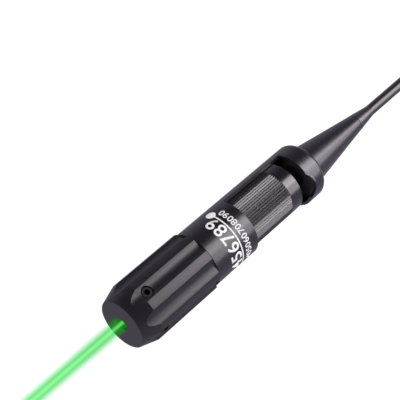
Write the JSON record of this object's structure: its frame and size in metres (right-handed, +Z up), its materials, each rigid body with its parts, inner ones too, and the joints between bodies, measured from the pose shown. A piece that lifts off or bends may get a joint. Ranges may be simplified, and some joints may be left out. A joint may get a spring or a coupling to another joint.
{
  "type": "laser bore sighter",
  "caption": "Laser collimator for aligning a sight to a bore: fluted head with aiming screws, tube with a knurled battery cap in a cradle, muzzle cone and thin arbor.",
  "frame": {"origin": "on the axis, where the round arbor leaves its tapered shoulder", "axes": "+X along the axis from the laser aperture to the arbor's tip; +Z up, through the upper adjusting screw"},
  "size_m": [0.198, 0.0214, 0.0214],
  "materials": {
    "anodised_black": "satin black anodising",
    "black_steel": "black oxide",
    "brass": "turned",
    "copper": "turned",
    "steel": "bright",
    "nickel": "plated",
    "rubber": "matte",
    "optic": "clear",
    "crystal": "clear",
    "board": "solder mask",
    "component": "moulded",
    "sleeve": "clear film"
  },
  "bodies": {
    "root": {"head_casing": "anodised_black", "housing_tube": "anodised_black", "head_seal_ring": "rubber", "muzzle_cone": "anodised_black", "arbor_rod": "anodised_black"},
    "pivot": {"pivot_ring": "rubber"},
    "laser_module": {"laser_barrel": "brass", "lens_cell": "brass", "collimating_lens": "optic", "lens_spring": "steel", "crystal_holder": "copper", "infrared_filter": "optic", "expander_lens": "optic", "laser_crystal": "crystal", "diode_holder": "copper", "pump_diode": "steel", "driver_board": "board", "board_components": "component", "contact_board": "board", "contact_spring": "steel"},
    "upper_tip": {"upper_screw_tip": "brass"},
    "upper_screw": {"upper_screw": "black_steel"},
    "lower_tip": {"lower_screw_tip": "brass"},
    "lower_screw": {"lower_screw": "black_steel"},
    "right_tip": {"right_screw_tip": "brass"},
    "right_screw": {"right_screw": "black_steel"},
    "left_tip": {"left_screw_tip": "brass"},
    "left_screw": {"left_screw": "black_steel"},
    "cells": {"cell_sleeve": "sleeve", "front_cell": "nickel", "middle_cell": "nickel", "rear_cell": "nickel", "cell_spring": "steel"},
    "cap": {"battery_cap": "anodised_black"}
  },
  "joints": [
    {"name": "windage_yaw", "type": "hinge", "parent": "root", "child": "pivot", "pos_m": [-0.099, 0, 0], "axis": [0, 0, 1], "range_deg": [-1.39, 1.39]},
    {"name": "elevation_pitch", "type": "hinge", "parent": "pivot", "child": "laser_module", "pos_m": [-0.099, 0, 0], "axis": [0, 1, 0], "range_deg": [-1.39, 1.39]},
    {"name": "upper_tip_travel", "type": "slide", "parent": "root", "child": "upper_tip", "axis": [0, 0, -1], "range_m": [-0.00053, 0.00053]},
    {"name": "upper_screw_turn", "type": "hinge", "parent": "upper_tip", "child": "upper_screw", "pos_m": [-0.1206, 0, 0], "axis": [0, 0, -1], "range_deg": [-270, 270]},
    {"name": "lower_tip_travel", "type": "slide", "parent": "root", "child": "lower_tip", "axis": [0, 0, 1], "range_m": [-0.00053, 0.00053]},
    {"name": "lower_screw_turn", "type": "hinge", "parent": "lower_tip", "child": "lower_screw", "pos_m": [-0.1206, 0, 0], "axis": [0, 0, 1], "range_deg": [-270, 270]},
    {"name": "right_tip_travel", "type": "slide", "parent": "root", "child": "right_tip", "axis": [0, -1, 0], "range_m": [-0.00053, 0.00053]},
    {"name": "right_screw_turn", "type": "hinge", "parent": "right_tip", "child": "right_screw", "pos_m": [-0.1206, 0, 0], "axis": [0, -1, 0], "range_deg": [-270, 270]},
    {"name": "left_tip_travel", "type": "slide", "parent": "root", "child": "left_tip", "axis": [0, 1, 0], "range_m": [-0.00053, 0.00053]},
    {"name": "left_screw_turn", "type": "hinge", "parent": "left_tip", "child": "left_screw", "pos_m": [-0.1206, 0, 0], "axis": [0, 1, 0], "range_deg": [-270, 270]},
    {"name": "cell_travel", "type": "slide", "parent": "root", "child": "cells", "axis": [1, 0, 0], "range_m": [0, 0.0026], "deforming": ["contact_spring"]},
    {"name": "cap_turn", "type": "hinge", "parent": "cells", "child": "cap", "pos_m": [-0.064, 0, 0], "axis": [1, 0, 0], "range_deg": [0, 1250]}
  ],
  "couplings": [
    {"joint": "upper_screw_turn", "follows": "elevation_pitch", "ratio": -193.88},
    {"joint": "lower_screw_turn", "follows": "elevation_pitch", "ratio": 193.88},
    {"joint": "upper_tip_travel", "follows": "elevation_pitch", "m_per_rad": -0.0216},
    {"joint": "lower_tip_travel", "follows": "elevation_pitch", "m_per_rad": 0.0216},
    {"joint": "right_screw_turn", "follows": "windage_yaw", "ratio": 193.88},
    {"joint": "left_screw_turn", "follows": "windage_yaw", "ratio": -193.88},
    {"joint": "right_tip_travel", "follows": "windage_yaw", "m_per_rad": 0.0216},
    {"joint": "left_tip_travel", "follows": "windage_yaw", "m_per_rad": -0.0216},
    {"joint": "cap_turn", "follows": "cell_travel", "rad_per_m": 8377.6}
  ]
}
